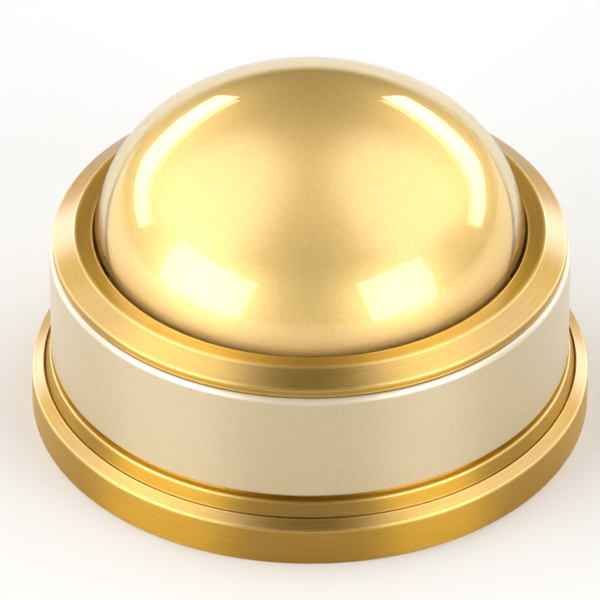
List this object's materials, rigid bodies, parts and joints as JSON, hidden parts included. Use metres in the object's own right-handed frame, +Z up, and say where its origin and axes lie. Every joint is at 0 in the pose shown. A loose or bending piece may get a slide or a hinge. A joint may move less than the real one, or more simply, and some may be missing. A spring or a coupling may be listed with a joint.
{
  "type": "dome push button",
  "caption": "Large dome push button: clear lens over a gold dome in a bevelled gold bezel, cream sleeve and flanged gold base, pressing a sprung plunger and a lever switch.",
  "frame": {"origin": "middle of the flange's underside, on the button's axis", "axes": "+Z up along the press axis, out of the dome; +X from the axis towards the switch and the wire outlet; +Y completes a right-handed frame"},
  "size_m": [0.1, 0.1, 0.0635],
  "materials": {
    "gold_metal": "satin gold anodised",
    "gold_dome": "fine satin gold",
    "cream_paint": "satin pearl cream",
    "clear_lens": "clear polished acrylic",
    "black_plastic": "moulded",
    "switch_plastic": "moulded",
    "red_plastic": "moulded",
    "spring_steel": "bright drawn",
    "screw_steel": "zinc plated",
    "brass_blade": "stamped",
    "soft_rubber": "matt",
    "amber_silicone": "translucent",
    "plate_paint": "satin black"
  },
  "bodies": {
    "base": {"base_flange": "gold_metal", "collar_ring": "gold_metal", "body_sleeve": "cream_paint", "bezel_ring": "gold_metal", "damper_ring": "amber_silicone", "chassis": "black_plastic", "base_plate": "plate_paint", "wire_grommet": "soft_rubber", "stop_washer": "soft_rubber", "return_spring": "spring_steel", "switch_case": "switch_plastic", "switch_cover": "switch_plastic", "lever_pivot": "spring_steel", "terminal_common": "brass_blade", "terminal_closed": "brass_blade", "terminal_open": "brass_blade", "switch_screws": "screw_steel", "body_screws": "screw_steel", "plate_screws": "screw_steel"},
    "plunger": {"dome_lens": "clear_lens", "reflector_dome": "gold_dome", "plunger_carrier": "black_plastic", "lens_screws": "screw_steel"},
    "lever": {"switch_lever": "spring_steel"},
    "pin": {"switch_button": "red_plastic"}
  },
  "joints": [
    {"name": "button_press", "type": "slide", "parent": "base", "child": "plunger", "axis": [0, 0, -1], "range_m": [0, 0.004], "stiffness_N_per_m": 600, "springref_m": -0.004, "deforming": ["return_spring"]},
    {"name": "lever_swing", "type": "hinge", "parent": "base", "child": "lever", "pos_m": [0.0181, -0.0082, 0.02052], "axis": [-1, 0, 0], "range_deg": [0, 19.1]},
    {"name": "pin_press", "type": "slide", "parent": "base", "child": "pin", "axis": [0, 0, -1], "range_m": [0, 0.00095]}
  ],
  "couplings": [
    {"joint": "lever_swing", "follows": "button_press", "rad_per_m": 83.333},
    {"joint": "pin_press", "follows": "button_press", "ratio": 0.235}
  ]
}
